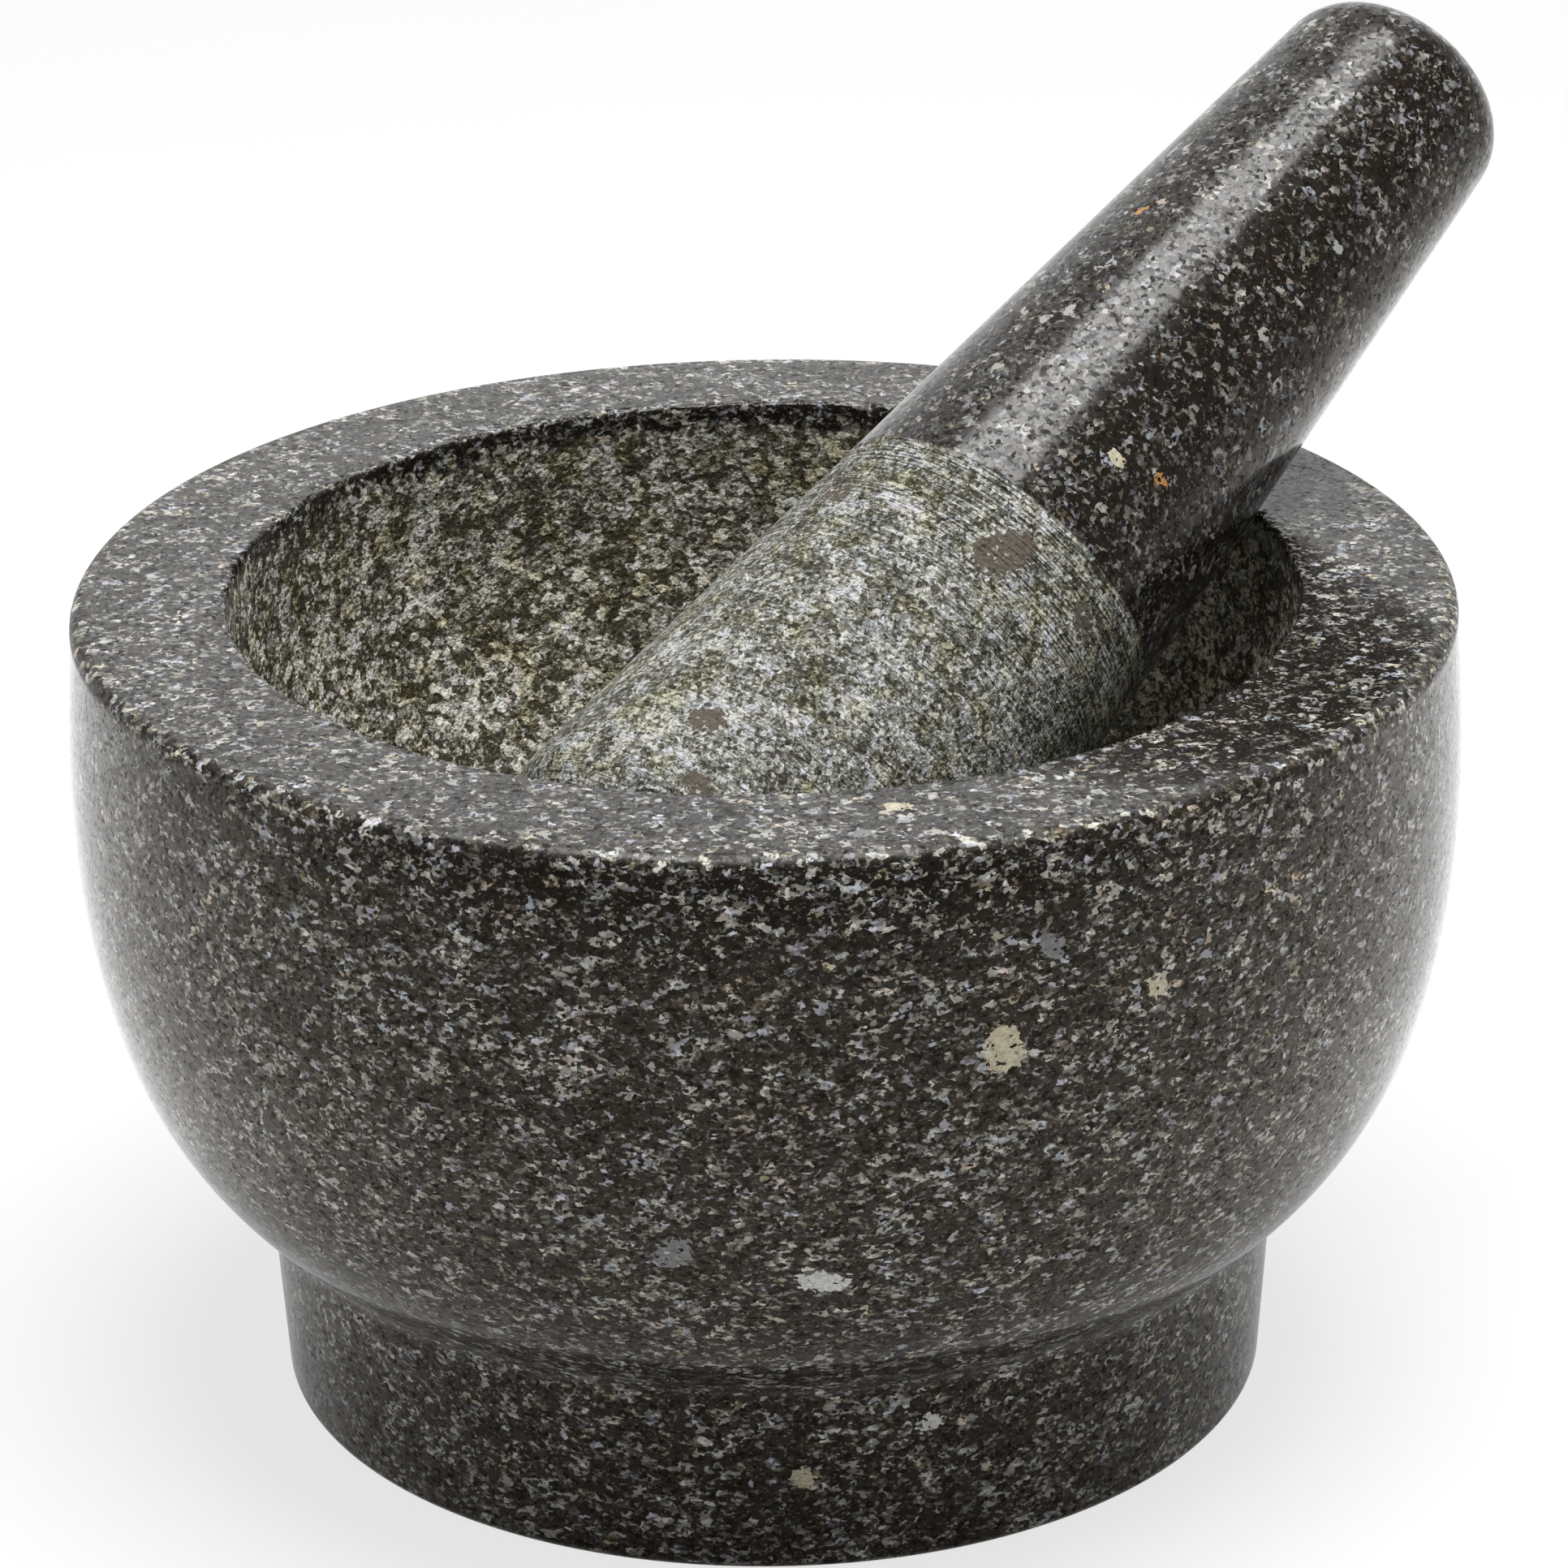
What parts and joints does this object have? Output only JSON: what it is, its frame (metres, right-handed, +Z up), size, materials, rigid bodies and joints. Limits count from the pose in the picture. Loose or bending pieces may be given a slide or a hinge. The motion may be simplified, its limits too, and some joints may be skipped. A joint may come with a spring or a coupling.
{
  "type": "granite mortar and pestle",
  "caption": "Round stone mortar with a flat polished rim and a drum foot, and a tapered stone pestle leaning in its rough bowl.",
  "frame": {"origin": "centre of the foot's flat underside", "axes": "+Z up along the mortar's axis; the pestle leans back and to the right, over +X and +Y"},
  "size_m": [0.1884, 0.1798, 0.1669],
  "materials": {
    "mortar_granite": "dark speckled granite, polished outside and on the rim, rough and matt in the bowl",
    "pestle_granite": "dark speckled granite, polished on the handle, rough and paler on the grinding head"
  },
  "bodies": {
    "mortar": {"mortar": "mortar_granite"},
    "pestle": {"pestle": "pestle_granite"}
  },
  "joints": [
    {"name": "pestle_lift", "type": "slide", "parent": "mortar", "child": "pestle", "axis": [0, 0, 1], "range_m": [0, 0.1]}
  ]
}
